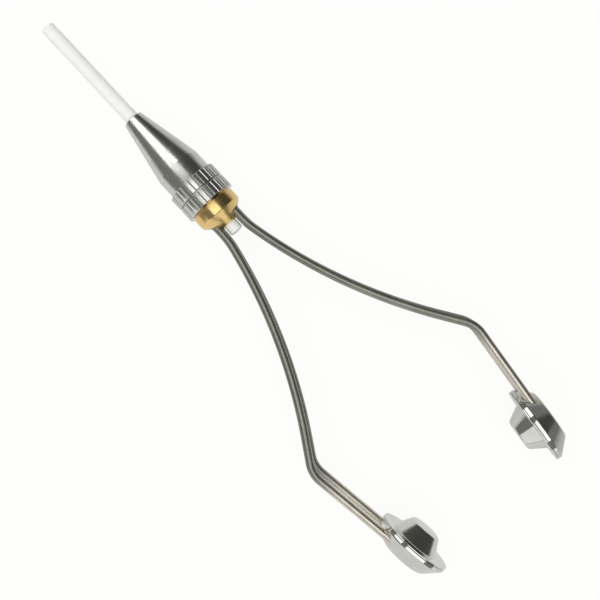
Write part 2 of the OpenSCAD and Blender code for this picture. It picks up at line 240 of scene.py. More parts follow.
def rounded(rows, steps=5):
    """Closed profile through corners, each a row of (place, radius, cut), all rounded.

    A corner P with neighbours at A and B becomes the parabola
    (1 - u)^2 a + 2 u (1 - u) P + u^2 b for u from 0 to 1, where a and b lie on its two
    sides at the cut's distance from P. Returns the points, and a value for each that
    rises to 1 in the middle of an outer corner, which is where such an edge is rubbed.
    """
    rows = np.asarray(rows, float)
    corners, cuts = rows[:, :2], rows[:, 2]
    before, after = np.roll(corners, 1, 0) - corners, np.roll(corners, -1, 0) - corners
    reach_before, reach_after = np.linalg.norm(before, axis=1), np.linalg.norm(after, axis=1)
    cut = np.minimum(cuts, LONGEST_CUT * np.minimum(reach_before, reach_after))
    start = corners + before * (cut / reach_before)[:, None]
    end = corners + after * (cut / reach_after)[:, None]
    u = np.linspace(0, 1, steps)[None, :, None]
    points = ((1 - u) ** 2 * start[:, None] + 2 * u * (1 - u) * corners[:, None]
              + u**2 * end[:, None])
    turn = before[:, 0] * after[:, 1] - before[:, 1] * after[:, 0]
    place, radius = corners.T
    area = np.sum(place * np.roll(radius, -1) - np.roll(place, -1) * radius)
    outside = (turn * np.sign(area) < 0).astype(float)
    bow = 4 * u[0, :, 0] * (1 - u[0, :, 0])
    return points.reshape(-1, 2), (outside[:, None] * bow[None, :]).ravel()


def grid_faces(rings, sides, closed=False):
    """Four-cornered faces between rings of points, from the last to the first if closed."""
    i = np.arange(rings if closed else rings - 1)[:, None]
    j = np.arange(sides)[None, :]
    low, high = i * sides, (i + 1) % rings * sides
    near, far = j + 0 * i, (j + 1) % sides + 0 * i
    return np.stack([low + near, low + far, high + far, high + near], -1).reshape(-1, 4)


def pointing_out(points, faces):
    """The same faces, turned round together if the volume within them is negative."""
    a, b, c, d = points[faces.T]
    volume = np.sum(a * np.cross(b, c)) + np.sum(a * np.cross(c, d))
    return faces if volume > 0 else faces[:, ::-1]


def full_turn(count):
    """Angles of one full turn, evenly spaced."""
    return np.arange(count) * 2 * math.pi / count


def along_tool(points):
    """Points of (place, across, up) turned into the frame, where places run towards -X."""
    return points * np.array([-1.0, 1.0, 1.0])


# Mesh and object helpers


def linked(name, data):
    """New object with this data, linked to the scene."""
    made = bpy.data.objects.new(name, data)
    bpy.context.scene.collection.objects.link(made)
    return made


def new_piece(name, points, faces, finish, **values):
    """Object at the origin with faces that point outwards, and its points' values by name.

    edge is 1 where an edge is rubbed. along is a vector, the length along the wire and
    the place on the wire's round section.
    """
    mesh = bpy.data.meshes.new(name)
    mesh.from_pydata(points.tolist(), [], pointing_out(points, faces).tolist())
    for label, rows in values.items():
        kind, field = ("FLOAT", "value") if rows.ndim == 1 else ("FLOAT_VECTOR", "vector")
        layer = mesh.attributes.new(label, kind, "POINT")
        layer.data.foreach_set(field, rows.astype(np.float32).ravel())
    mesh.validate()
    mesh.materials.append(material_named(finish))
    return linked(name, mesh)


def turned_piece(name, outline, angles, finish, radius_of=None, placed=along_tool):
    """Body of revolution: the point at place s, radius r and angle t is (s, r cos t, r sin t).

    outline is a closed profile of (s, r) and its edge values. radius_of, where given, is
    a function of place, radius and angle that returns the radius after flutes or a thread
    are cut. placed is a function that turns the points into the frame.
    """
    profile, edge = outline
    place, radii = profile[:, :1], profile[:, 1:] + 0 * angles[None, :]
    if radius_of is not None:
        radii = radius_of(place + 0 * radii, radii, angles[None, :] + 0 * radii)
    grid = np.stack([place + 0 * radii, radii * np.cos(angles), radii * np.sin(angles)], -1)
    faces = grid_faces(len(profile), len(angles), closed=True)
    return new_piece(name, placed(grid.reshape(-1, 3)), faces, finish,
                     edge=np.repeat(edge, len(angles)))


def finish_shading(piece, sharp=38):
    """Smooth faces, sharp where they meet at more than this angle in degrees."""
    piece.data.shade_smooth()
    piece.data.set_sharp_from_angle(angle=math.radians(sharp))
    weighted = piece.modifiers.new("even normals", "WEIGHTED_NORMAL")
    weighted.keep_sharp = True
    weighted.weight = 80


def cut_away(piece, cutters):
    """Cuts the cutters out of a piece, and removes them."""
    for cutter in cutters:
        cut = piece.modifiers.new("cut", "BOOLEAN")
        cut.operation = "DIFFERENCE"
        cut.solver = "EXACT"
        cut.object = cutter
    bpy.context.view_layer.update()
    evaluated = piece.evaluated_get(bpy.context.evaluated_depsgraph_get())
    mesh = bpy.data.meshes.new_from_object(evaluated)
    piece.modifiers.clear()
    piece.data = mesh
    for cutter in cutters:
        bpy.data.objects.remove(cutter)


def close_ends(mesh, sides):
    """Closes the first and the last ring with a face each, and turns all faces outwards."""
    work = bmesh.new()
    work.from_mesh(mesh)
    work.verts.ensure_lookup_table()
    work.faces.new(work.verts[:sides])
    work.faces.new(work.verts[-sides:])
    bmesh.ops.recalc_face_normals(work, faces=work.faces)
    work.to_mesh(mesh)
    work.free()


def cutting_solid(name, first, last):
    """Closed solid between two rings of points that have the same count."""
    mesh = bpy.data.meshes.new(name)
    faces = grid_faces(2, len(first))
    mesh.from_pydata(np.vstack([first, last]).tolist(), [], faces.tolist())
    close_ends(mesh, len(first))
    return linked(name, mesh)


# Shape of the fluted collars and of the thread


def flute_angles(count):
    """Angles round a collar, close together where a flute's sides and floor bend."""
    share = np.array([0, 0.03, 0.07, 0.11, 0.145, 0.165, 0.20, 0.34, 0.5,
                      0.66, 0.80, 0.835, 0.855, 0.89, 0.93, 0.97])
    return ((np.arange(count)[:, None] + share[None, :]) * 2 * math.pi / count).ravel()


def fluted(collars):
    """Radius after the flutes: the lower of the profile and of a ring with V grooves.

    At the arc's distance d from a flute's middle, with a small rounding r of its floor,
    the groove is as deep as the flute's depth plus r / 2 less the root of d^2 + r^2.
    """
    outside = collars.outside / 2
    pitch = 2 * math.pi / collars.flutes

    def radius_of(place, radius, angle):
        away = np.abs((angle / pitch + 0.5) % 1 - 0.5) * pitch * outside
        groove = np.maximum(0, collars.flute_depth + FLOOR_ROUND / 2 - np.hypot(away, FLOOR_ROUND))
        return np.where(radius > outside * 0.9, np.minimum(radius, outside - groove), radius)

    return radius_of


def thread_ends(hub):
    """Places where the hub's thread starts and ends."""
    return hub.spigot_front + hub.pitch * 0.3, hub.flange_front - hub.pitch


def threaded(hub):
    """Radius on the spigot: a V thread, deepest where place / pitch plus the turn is whole.

    It fades out over half a pitch at each end of the thread.
    """
    top = hub.thread / 2
    first, last = thread_ends(hub)

    def radius_of(place, radius, angle):
        phase = (place / hub.pitch + angle / (2 * math.pi)) % 1
        depth = hub.thread_depth * np.clip(1.25 * np.abs(2 * phase - 1) - 0.12, 0, 1)
        fade = (np.clip((place - first) / hub.pitch, 0, 1)
                * np.clip((last - place) / hub.pitch, 0, 1))
        on_thread = (np.abs(radius - top) < 1e-6) & (place > first) & (place < last)
        return np.where(on_thread, radius - depth * np.minimum(1, 2 * fade), radius)

    return radius_of


# Paths of the arms


def plane_path(*legs):
    """Plane path of straights and arcs, as rows of (back, out, angle).

    A leg is its length or radius, its turn and its steps. Without a turn it is a
    straight. In an arc, the point at angle a lies the radius times (sin a, -cos a) from
    the arc's middle.
    """
    rows = np.zeros((1, 3))
    for reach, turn, steps in legs:
        back, out, angle = rows[-1]
        t = np.linspace(0, 1, steps + 1)[1:]
        a = angle + turn * t
        if turn:
            bow = math.copysign(reach, turn)
            back = back + bow * (np.sin(a) - np.sin(angle))
            out = out + bow * (np.cos(angle) - np.cos(a))
        else:
            back = back + reach * t * np.cos(angle)
            out = out + reach * t * np.sin(angle)
        rows = np.vstack([rows, np.stack([back, out, a], 1)])
    return rows


def foot_axes(arms, side):
    """Directions in a foot: towards the hub, up, and inwards along the plug's axis."""
    a = arms.foot_angle
    return (
        np.array([math.cos(a), side * math.sin(a), 0.0]),
        np.array([0.0, 0.0, 1.0]),
        np.array([math.sin(a), -side * math.cos(a), 0.0]),
    )


def hairpin(arms, side):
    """Middle points and directions of one arm's wire, and the middle of its bend.

    The two strands follow the same plane path. Each plane is tilted about the line of
    the last straight, one up and one down, so that the strands reach the hairpin's half
    circle as far apart as it is wide.
    """
    path = plane_path(
        (arms.root_run, 0, 4),
        (arms.root_bend, arms.root_angle, 10),
        (arms.curve, arms.knee_angle - arms.root_angle, 56),
        (arms.knee_run, 0, 4),
        (arms.knee_bend, -arms.knee_angle - arms.foot_angle, 22),
        (arms.left_foot_run if side == LEFT else arms.right_foot_run, 0, 12),
    )
    a = arms.foot_angle
    strand = arms.wire / 2 + arms.strand_gap / 2
    reach = path[-1, 0] * math.sin(a) + path[-1, 1] * math.cos(a)
    tilt = math.asin((arms.hairpin - strand) / reach)
    hubwards, up_way, inwards = foot_axes(arms, side)

    def lifted(vectors, up):
        """Vectors of an arm's plane, in the frame."""
        back = vectors[:, 0] * math.cos(a) - vectors[:, 1] * math.sin(a)
        out = vectors[:, 0] * math.sin(a) + vectors[:, 1] * math.cos(a)
        return (
            -back[:, None] * hubwards
            - out[:, None] * math.cos(tilt) * inwards
            + up * out[:, None] * math.sin(tilt) * up_way
        )

    root = np.array([-arms.root_back, side * arms.root_out, 0.0])
    ways = np.stack([np.cos(path[:, 2]), np.sin(path[:, 2])], 1)
    upper = root + strand * up_way + lifted(path[:, :2], 1)
    lower = root - strand * up_way + lifted(path[:, :2], -1)
    centre = np.array([upper[-1, 0], upper[-1, 1], 0.0])
    t = np.linspace(0, math.pi, HALF_TURN + 2)[1:-1, None]
    round_end = centre + arms.hairpin * (np.cos(t) * up_way - np.sin(t) * hubwards)
    round_ways = -np.cos(t) * hubwards - np.sin(t) * up_way
    points = np.vstack([upper, round_end, lower[::-1]])
    directions = np.vstack([lifted(ways, 1), round_ways, -lifted(ways, -1)[::-1]])
    return points, directions, centre


def swept_wire(points, directions, inwards, radius):
    """Round wire: each ring's point is the middle plus radius (cos t side + sin t rise).

    side is square to the wire's direction and to the foot's axis, and rise is square to
    both. The two ends close in to a shallow dome. Returns the points, the faces, and for
    each point its length along the wire from the hairpin's middle and its place on the
    round section.
    """
    directions = directions / np.linalg.norm(directions, axis=1)[:, None]
    side = np.cross(directions, inwards)
    side /= np.linalg.norm(side, axis=1)[:, None]
    rise = np.cross(directions, side)
    share = np.concatenate([[0.02, 0.8], np.ones(len(points)), [0.8, 0.02]])
    tip, dome = 0.02 * radius * directions, 0.1 * radius * directions
    middles, side, rise = (
        np.pad(rows, ((2, 2), (0, 0)), "edge") for rows in (points, side, rise)
    )
    middles[1:3] += [tip[0], dome[0]]
    middles[-3:-1] -= [dome[-1], tip[-1]]
    t = full_turn(WIRE_SIDES)
    around, up = radius * np.cos(t), radius * np.sin(t)
    ring = around[:, None] * side[:, None] + up[:, None] * rise[:, None]
    grid = middles[:, None] + share[:, None, None] * ring
    step = np.linalg.norm(np.diff(middles, axis=0), axis=1)
    length = np.concatenate([[0], np.cumsum(step)])[:, None]
    length = length - length[-1] / 2 + 0 * t
    way = np.stack([length, around + 0 * length, up + 0 * length], -1)
    return grid.reshape(-1, 3), grid_faces(len(middles), WIRE_SIDES), way.reshape(-1, 3)


# Node helpers


def feed(socket, value):
    """Links a socket to another node's socket, or gives it a plain value."""
    if isinstance(value, bpy.types.NodeSocket):
        socket.id_data.links.new(value, socket)
    else:
        socket.default_value = value


def node(tree, kind, **inputs):
    """New node with these inputs fed, where an underscore stands for a space."""
    made = tree.nodes.new(kind)
    for name, value in inputs.items():
        feed(made.inputs[name.replace("_", " ")], value)
    return made


def maths(tree, operation, first, second=0.0):
    """Output of a Math node on two values or sockets."""
    made = node(tree, "ShaderNodeMath")
    made.operation = operation
    feed(made.inputs[0], first)
    feed(made.inputs[1], second)
    return made.outputs[0]


def times(tree, first, second):
    """Product of two values or sockets."""
    return maths(tree, "MULTIPLY", first, second)


def plus(tree, first, second):
    """Sum of two values or sockets."""
    return maths(tree, "ADD", first, second)


def greater(tree, first, second):
    """The greater of two values or sockets."""
    return maths(tree, "MAXIMUM", first, second)


def mixed(tree, share, first, second):
    """Output of a colour mix, second where the share is 1."""
    made = node(tree, "ShaderNodeMix")
    made.data_type = "RGBA"
    for index, value in ((0, share), (6, first), (7, second)):
        feed(made.inputs[index], value)
    return made.outputs[2]


def spread(tree, value, low, high, to_low=0.0, to_high=1.0):
    """Output of a Map Range node, held within its ends."""
    made = node(tree, "ShaderNodeMapRange")
    for index, item in enumerate((value, low, high, to_low, to_high)):
        feed(made.inputs[index], item)
    return made.outputs[0]


def noise(tree, vector, scale, detail=2.0, roughness=0.5, distortion=0.0, lines=False):
    """Output of a Noise Texture; where it makes lines, vector is the one value it reads."""
    made = node(tree, "ShaderNodeTexNoise", Scale=scale, Detail=detail, Roughness=roughness,
                Distortion=distortion)
    made.noise_dimensions = "1D" if lines else "3D"
    feed(made.inputs["W" if lines else "Vector"], vector)
    return made.outputs["Fac"]


def parts_of(tree, vector):
    """Outputs with the three parts of a vector."""
    return node(tree, "ShaderNodeSeparateXYZ", Vector=vector).outputs


def stretched(tree, vector, scale, turn=(0.0, 0.0, 0.0)):
    """Output with a vector stretched part by part, and then turned."""
    return node(tree, "ShaderNodeMapping", Vector=vector, Rotation=turn, Scale=scale).outputs[0]


def attribute(tree, name):
    """Outputs of a mesh attribute; a CAD node has none, and gives 0."""
    made = node(tree, "ShaderNodeAttribute")
    made.attribute_name = name
    return made.outputs


def toned(colour, share=1.0):
    """A colour times a share, held to 1, with its alpha."""
    return tuple(min(1.0, share * c) for c in colour) + (1.0,)


def new_group(name, inputs, outputs):
    """Empty shader group with named inputs, each of (name, value), and named outputs.

    An input without a value is a vector.
    """
    tree = bpy.data.node_groups.new(name, "ShaderNodeTree")
    for label, value in inputs:
        kind = "NodeSocketVector" if value is None else "NodeSocketFloat"
        socket = tree.interface.new_socket(name=label, in_out="INPUT", socket_type=kind)
        if value is not None:
            socket.default_value = value
    for label in outputs:
        tree.interface.new_socket(name=label, in_out="OUTPUT", socket_type="NodeSocketFloat")
    return tree, node(tree, "NodeGroupInput").outputs, node(tree, "NodeGroupOutput").inputs


def turning_marks_group():
    """Fine rings left by the lathe: noise along the axis, and out along the faces.

    The vector's X is the axis. Marks is the height of the rings, from 0 to 1.
    """
    tree, given, out = new_group("Turning marks", [("Vector", None), ("Lines", 9000.0)], ["Marks"])
    along, across, up = parts_of(tree, given["Vector"])
    squares = plus(tree, times(tree, across, across), times(tree, up, up))
    way = plus(tree, along, maths(tree, "SQRT", squares))
    rings = noise(tree, times(tree, way, given["Lines"]), 1.0, 3.0, 0.6, lines=True)
    feed(out["Marks"], rings)


def handling_group():
    """Traces of hands: broad smudges, and short fine scratches that run all ways."""
    tree, given, out = new_group(
        "Handling", [("Vector", None), ("Smudge size", 350.0), ("Scratch size", 900.0)],
        ["Smudge", "Scratch"],
    )
    cloud = noise(tree, given["Vector"], given["Smudge size"], 4.0, distortion=0.6)
    feed(out["Smudge"], spread(tree, cloud, 0.42, 0.68))
    lines = []
    for turn in ((0.3, 0.9, 0.2), (1.1, 0.2, 1.3)):
        vector = stretched(tree, given["Vector"], (1.0, 14.0, 14.0), turn)
        streak = noise(tree, vector, given["Scratch size"], 1.0)
        lines.append(spread(tree, streak, 0.70, 0.78))
    feed(out["Scratch"], greater(tree, *lines))


def placed_group(tree, name, vector):
    """Outputs of a group that is placed in a material and reads this vector."""
    made = node(tree, "ShaderNodeGroup")
    made.node_tree = bpy.data.node_groups[name]
    feed(made.inputs["Vector"], vector)
    return made.outputs


# Materials


def emptied_tree(holder):
    """Node tree of a material or a world, with no nodes in it."""
    holder.use_nodes = True
    holder.node_tree.nodes.clear()
    return holder.node_tree


def new_material(name):
    """Tree and Principled BSDF of a new material, linked to its output."""
    tree = emptied_tree(bpy.data.materials.new(name))
    shader = node(tree, "ShaderNodeBsdfPrincipled")
    node(tree, "ShaderNodeOutputMaterial", Surface=shader.outputs[0])
    return tree, shader


def axis_vector(tree, origin=(0.0, 0.0, 0.0), turn=0.0):
    """Object coordinates seen from a piece's own axis, which becomes X."""
    coordinates = node(tree, "ShaderNodeTexCoord").outputs["Object"]
    made = node(tree, "ShaderNodeMapping", Vector=coordinates, Location=origin,
                Rotation=(0.0, 0.0, turn))
    made.vector_type = "TEXTURE"
    return made.outputs[0]


def surfaced(tree, shader, colour, rough, height, distance, metallic=0.0):
    """Gives a shader its colour, its roughness, its metal, and relief from a height."""
    bump = node(tree, "ShaderNodeBump", Strength=1.0, Distance=distance, Height=height)
    feed(shader.inputs["Base Color"], colour)
    feed(shader.inputs["Roughness"], rough)
    feed(shader.inputs["Metallic"], metallic)
    feed(shader.inputs["Normal"], bump.outputs[0])


def turned_metal(name, colour, low, high, origin=(0.0, 0.0, 0.0), turn=0.0):
    """Turned and polished metal, its roughness from low to high where hands smudged it.

    It has fine rings round its axis, scratches and rubbed edges.
    """
    tree, shader = new_material(name)
    vector = axis_vector(tree, origin, turn)
    rings = placed_group(tree, "Turning marks", vector)["Marks"]
    hands = placed_group(tree, "Handling", vector)
    smudge, scratch = hands["Smudge"], hands["Scratch"]
    handled = mixed(tree, times(tree, smudge, 0.5), toned(colour), toned(colour, 0.86))
    rubbed = times(tree, attribute(tree, "edge")["Fac"], 0.6)
    rough = plus(tree, spread(tree, smudge, 0.0, 1.0, low, high), times(tree, scratch, 0.12))
    rough = plus(tree, rough, times(tree, maths(tree, "SUBTRACT", rings, 0.5), 0.06))
    height = maths(tree, "SUBTRACT", rings, times(tree, scratch, 0.6))
    surfaced(tree, shader, mixed(tree, rubbed, handled, toned(colour, 1.08)), rough,
             height, 0.0000009, metallic=1.0)


def drawn_wire(name, colour, highlight_colour, polished):
    """Drawn spring wire: long streaks along it, and within a length of the foot a painted
    highlight, a far brighter colour, where it is also smoother.
    """
    tree, shader = new_material(name)
    place = attribute(tree, "along")["Vector"]
    away = maths(tree, "ABSOLUTE", parts_of(tree, place)[0])
    # dull is 0 within the polished length of the foot and 1 further off: further off the wire is a
    # little rougher and has no painted highlight
    dull = spread(tree, away, 1.02 * polished, 1.3 * polished)
    streaks = noise(tree, stretched(tree, place, (0.02, 1.0, 1.0)), 3200.0)
    cloud = noise(tree, place, 260.0, 3.0, 0.6)
    tone = plus(tree, times(tree, streaks, 0.6), times(tree, cloud, 0.4))
    drawn = mixed(tree, spread(tree, tone, 0.35, 0.65), toned(colour, 0.78), toned(colour, 1.18))
    # Painted highlight: near the foot the wire takes the bright highlight colour in place of its
    # own
    painted_highlight = mixed(tree, spread(tree, cloud, 0.35, 0.75), toned(highlight_colour), toned(highlight_colour, 0.8))
    rough = plus(tree, times(tree, dull, 0.04), spread(tree, streaks, 0.3, 0.7, 0.35, 0.40))
    relief = plus(tree, times(tree, dull, 0.95), 0.05)
    surfaced(tree, shader, mixed(tree, dull, painted_highlight, drawn), rough,
             times(tree, streaks, relief), 0.000002, metallic=1.0)


def glazed_ceramic(name, colour):
    """White ceramic, smooth, with the faintest clouds."""
    tree, shader = new_material(name)
    vector = axis_vector(tree)
    smudge = placed_group(tree, "Handling", vector)["Smudge"]
    cloud = noise(tree, vector, 300.0)
    clouded = mixed(tree, spread(tree, cloud, 0.35, 0.7), toned(colour), toned(colour, 0.975))
    shader.inputs["Specular IOR Level"].default_value = 0.08
    surfaced(tree, shader, clouded, spread(tree, smudge, 0.0, 1.0, 0.46, 0.54),
             cloud, 0.0000006)


def moulded_plastic(name, colour):
    """Plain washer of pressed plastic: fine grain and a soft gloss."""
    tree, shader = new_material(name)
    grain = noise(tree, axis_vector(tree), 4200.0, 3.0, 0.6)
    grained = mixed(tree, spread(tree, grain, 0.3, 0.7), toned(colour), toned(colour, 0.82))
    surfaced(tree, shader, grained, spread(tree, grain, 0.2, 0.8, 0.42, 0.6),
             grain, 0.000008)


def rolled_steel(name, colour):
    """Thin washer of dull rolled steel: one way of grain and a few stains."""
    tree, shader = new_material(name)
    vector = axis_vector(tree)
    grain = noise(tree, stretched(tree, vector, (1.0, 0.08, 1.0)), 7000.0)
    stain = noise(tree, vector, 800.0, 3.0)
    stained = mixed(tree, spread(tree, stain, 0.35, 0.7), toned(colour), toned(colour, 1.5))
    surfaced(tree, shader, stained, spread(tree, grain, 0.3, 0.7, 0.3, 0.5),
             grain, 0.000003, metallic=1.0)


def material_named(name):
    """A finish by its name, or an error where the finishes aren't made yet."""
    found = bpy.data.materials.get(name)
    if found is None:
        raise RuntimeError(f"make the finishes first: there is no {name}")
    return found


# Operators, one for each piece or group of like pieces


class BOBBIN_OT_finishes(bpy.types.Operator):
    """Makes the finishes of all pieces"""

    bl_idname = "bobbin.finishes"
    bl_label = "Finishes"

    def execute(self, context):
        scene = context.scene
        colours, arms, feet = scene.bobbin_colours, scene.bobbin_arms, scene.bobbin_feet
        turning_marks_group()
        handling_group()
        turned_metal("steel_nose", colours.steel, 0.19, 0.29)
        turned_metal("brass_hub", colours.brass, 0.17, 0.28)
        for side, label in SIDE_NAMES.items():
            turned_metal(f"steel_{label}_foot", colours.steel, 0.05, 0.13,
                         foot_origin(arms, feet, side), side * (arms.foot_angle - math.pi / 2))
        drawn_wire("wire_drawn", colours.wire, colours.wire_highlight, arms.left_foot_run)
        glazed_ceramic("ceramic_tube", colours.ceramic)
        moulded_plastic("plastic_washer", colours.washer)
        rolled_steel("steel_washer", colours.dark)
        return {"FINISHED"}


class BOBBIN_OT_thread_tube(bpy.types.Operator):
    """Makes the white thread tube"""

    bl_idname = "bobbin.thread_tube"
    bl_label = "Thread tube"

    def execute(self, context):
        tube = context.scene.bobbin_tube
        inner, outer, mouth = tube.bore / 2, tube.outside / 2, 0.0001
        outline = rounded([
            (0, inner, mouth), (0, outer, tube.rounding),
            (tube.length, outer, tube.rounding), (tube.length, inner, mouth),
        ], 7)
        piece = turned_piece("tube_white", outline, full_turn(TUBE_SIDES), "ceramic_tube")
        finish_shading(piece)
        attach(piece, "hub_body")
        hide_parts("thread_tube")
        return {"FINISHED"}


class BOBBIN_OT_nose(bpy.types.Operator):
    """Makes the polished nose with its fluted collar"""

    bl_idname = "bobbin.nose"
    bl_label = "Nose"

    def execute(self, context):
        nose, collars = context.scene.bobbin_nose, context.scene.bobbin_collars
        rim, thread = collars.outside / 2, collars.thread_hole / 2
        inner, soft = 0.00004, 0.00015
        outline = rounded([
            (nose.front, nose.hole / 2, SMALL), (nose.front, nose.tip / 2, soft),
            (nose.shoulder, nose.body / 2, FINE), (nose.collar, nose.body / 2, inner),
            (nose.collar, rim, collars.edge), (nose.rear, rim, collars.edge),
            (nose.rear, thread, ROUND), (nose.thread_floor, thread, inner),
            (nose.thread_floor, nose.chamber / 2, inner),
            (nose.chamber_floor, nose.chamber / 2, inner),
            (nose.chamber_floor, nose.hole / 2, inner),
        ])
        piece = turned_piece("nose_polished", outline, flute_angles(collars.flutes),
                             "steel_nose", fluted(collars))
        finish_shading(piece)
        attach(piece, "nose_body")
        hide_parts("nose_cone")
        return {"FINISHED"}


class BOBBIN_OT_lock_ring(bpy.types.Operator):
    """Makes the fluted lock ring"""

    bl_idname = "bobbin.lock_ring"
    bl_label = "Lock ring"

    def execute(self, context):
        collars = context.scene.bobbin_collars
        rim, thread = collars.outside / 2, collars.thread_hole / 2
        outline = rounded([
            (collars.ring_front, thread, ROUND), (collars.ring_front, rim, collars.edge),
            (collars.ring_rear, rim, collars.edge), (collars.ring_rear, thread, ROUND),
        ])
        piece = turned_piece("lock_ring_polished", outline, flute_angles(collars.flutes),
                             "steel_nose", fluted(collars))
        finish_shading(piece)
        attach(piece, "ring_body")
        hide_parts("lock_ring")
        return {"FINISHED"}


class BOBBIN_OT_hub(bpy.types.Operator):
    """Makes the brass hub with its thread and its arm pockets"""

    bl_idname = "bobbin.hub"
    bl_label = "Hub"

    def execute(self, context):
        hub, arms = context.scene.bobbin_hub, context.scene.bobbin_arms
        top, soft, steps = hub.thread / 2, 0.00018, 5
        profile, edge = rounded([
            (hub.collet_floor, hub.tube_bore / 2, FINE),
            (hub.collet_floor, hub.collet_bore / 2, FINE),
            (hub.spigot_front, hub.collet_bore / 2, 0.0001), (hub.spigot_front, top, soft),
            (hub.flange_front, top, FINE), (hub.flange_front, hub.flange / 2, ROUND),
            (hub.flange_rear, hub.flange / 2, 0.00016), (hub.tail_rear, hub.tail / 2, soft),
            (hub.tail_rear, hub.tube_bore / 2, FINE),
        ], steps)
        split = 4 * steps
        places = np.linspace(*thread_ends(hub), THREAD_ROWS)
        thread = np.stack([places, top + 0 * places], 1)
        profile = np.vstack([profile[:split], thread, profile[split:]])
        edge = np.concatenate([edge[:split], 0 * places, edge[split:]])
        piece = turned_piece("hub_brass", (profile, edge), full_turn(HUB_SIDES),
                             "brass_hub", threaded(hub))
        radius = arms.wire / 2 + hub.pocket_play
        strand = arms.wire / 2 + arms.strand_gap / 2
        t = np.linspace(0, math.pi, HALF_TURN + 1)
        upper = np.stack([0 * t, radius * np.cos(t), strand + radius * np.sin(t)], 1)
        slot = np.vstack([upper, -upper])
        cutters = []
        for side in SIDE_NAMES:
            first, last = (
                along_tool(slot + [place, side * arms.root_out, 0.0])
                for place in (hub.pocket_floor, hub.tail_rear + PAST_END)
            )
            cutters.append(cutting_solid("pocket", first, last))
        cut_away(piece, cutters)
        finish_shading(piece, 32)
        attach(piece, "hub_body")
        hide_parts("hub")
        return {"FINISHED"}


class BOBBIN_OT_arms(bpy.types.Operator):
    """Makes the two arms of doubled spring wire"""

    bl_idname = "bobbin.arms"
    bl_label = "Arms"

    def execute(self, context):
        arms = context.scene.bobbin_arms
        for side, label in SIDE_NAMES.items():
            middles, directions, _ = hairpin(arms, side)
            points, faces, way = swept_wire(
                middles, directions, foot_axes(arms, side)[2], arms.wire / 2
            )
            piece = new_piece(f"{label}_arm_spring", points, faces, "wire_drawn", along=way)
            close_ends(piece.data, WIRE_SIDES)
            finish_shading(piece, 50)
            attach(piece, f"{label}_arm")
            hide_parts(f"{label}_arm_wire")
        return {"FINISHED"}


def foot_origin(arms, feet, side):
    """Middle of a foot's rim, where the plug's axis crosses it."""
    return hairpin(arms, side)[2] + feet.seat * foot_axes(arms, side)[2]


def in_foot(arms, feet, side):
    """Function that turns points of (height, across, up) in a foot into the frame."""
    origin = foot_origin(arms, feet, side)
    hubwards, up_way, inwards = foot_axes(arms, side)

    def placed(points):
        return (origin + points[:, :1] * inwards + points[:, 1:2] * hubwards
                + points[:, 2:] * up_way)

    return placed


class BOBBIN_OT_caps(bpy.types.Operator):
    """Makes the dished caps that hold the wire's bend"""

    bl_idname = "bobbin.caps"
    bl_label = "Foot caps"

    def execute(self, context):
        arms, feet = context.scene.bobbin_arms, context.scene.bobbin_feet
        hole = arms.wire / 2 + WIRE_PLAY
        bore = feet.spigot / 2 + SPIGOT_PLAY
        low, floor = -feet.seat - hole, -feet.chamber_depth
        boss = arms.hairpin - arms.wire / 2 - feet.boss_play
        back, recess = -feet.depth, feet.recess_depth - feet.depth
        outline = rounded([
            (floor, bore, FINE), (floor, boss, FINE), (low, boss, FINE),
            (low, arms.hairpin + hole, FINE), (floor, arms.hairpin + hole, FINE),
            (floor, feet.chamber / 2, FINE), (0.0, feet.chamber / 2, 0.00006),
            (0.0, feet.rim / 2, SMALL), (-feet.rim_width, feet.rim / 2, SMALL),
            (back, feet.face / 2, 0.00035), (back, feet.recess / 2, SMALL),
            (recess, feet.recess / 2, FINE), (recess, bore, FINE),
        ])
        t = full_turn(HOLE_SIDES)
        for side, label in SIDE_NAMES.items():
            placed = in_foot(arms, feet, side)
            piece = turned_piece(f"{label}_cap_polished", outline, full_turn(FOOT_SIDES),
                                 f"steel_{label}_foot", placed=placed)
            cutters = []
            for up in (-1, 1):
                ring = np.stack([hole * np.cos(t) - feet.seat, 0 * t,
                                 up * arms.hairpin + hole * np.sin(t)], 1)
                outside = ring + [0.0, feet.rim / 2 + PAST_END, 0.0]
                cutters.append(cutting_solid("wire_hole", placed(ring), placed(outside)))
            cut_away(piece, cutters)
            finish_shading(piece, 34)
            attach(piece, f"{label}_arm")
            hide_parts(f"{label}_cap")
        return {"FINISHED"}


class BOBBIN_OT_plugs(bpy.types.Operator):
    """Makes the turning cone plugs that hold the spool"""

    bl_idname = "bobbin.plugs"
    bl_label = "Spool plugs"

    def execute(self, context):
        arms, feet = context.scene.bobbin_arms, context.scene.bobbin_feet
        top = feet.brim_low + feet.brim
        axis, no_cut = 0.000002, 0.0000005
        outline = rounded([
            (feet.screw_reach, axis, no_cut), (feet.screw_reach, feet.screw_hole / 2, FINE),
            (-feet.spigot_end, feet.screw_hole / 2, SMALL),
            (-feet.spigot_end, feet.spigot / 2, SMALL),
            (feet.brim_low, feet.spigot / 2, FINE), (feet.brim_low, feet.rim / 2, 0.00006),
            (top, feet.rim / 2, SMALL), (top, feet.plug_base / 2, 0.00012),
            (feet.plug_height, feet.plug_tip / 2, 0.00032), (feet.plug_height, axis, no_cut),
        ], 6)
        for side, label in SIDE_NAMES.items():
            piece = turned_piece(f"{label}_plug_polished", outline, full_turn(FOOT_SIDES),
                                 f"steel_{label}_foot", placed=in_foot(arms, feet, side))
            finish_shading(piece)
            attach(piece, f"{label}_plug_body")
            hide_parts(f"{label}_plug")
        return {"FINISHED"}


CAD_FINISHES = {
    "closing_ring": "steel_nose",
    "collet": "brass_hub",
    "lock_washer": "steel_washer",
    "left_drag_washer": "plastic_washer",
    "right_drag_washer": "plastic_washer",
    "left_spring_washer": "steel_washer",
    "right_spring_washer": "steel_washer",
    "left_plug_screw": "steel_left_foot",
    "right_plug_screw": "steel_right_foot",
}


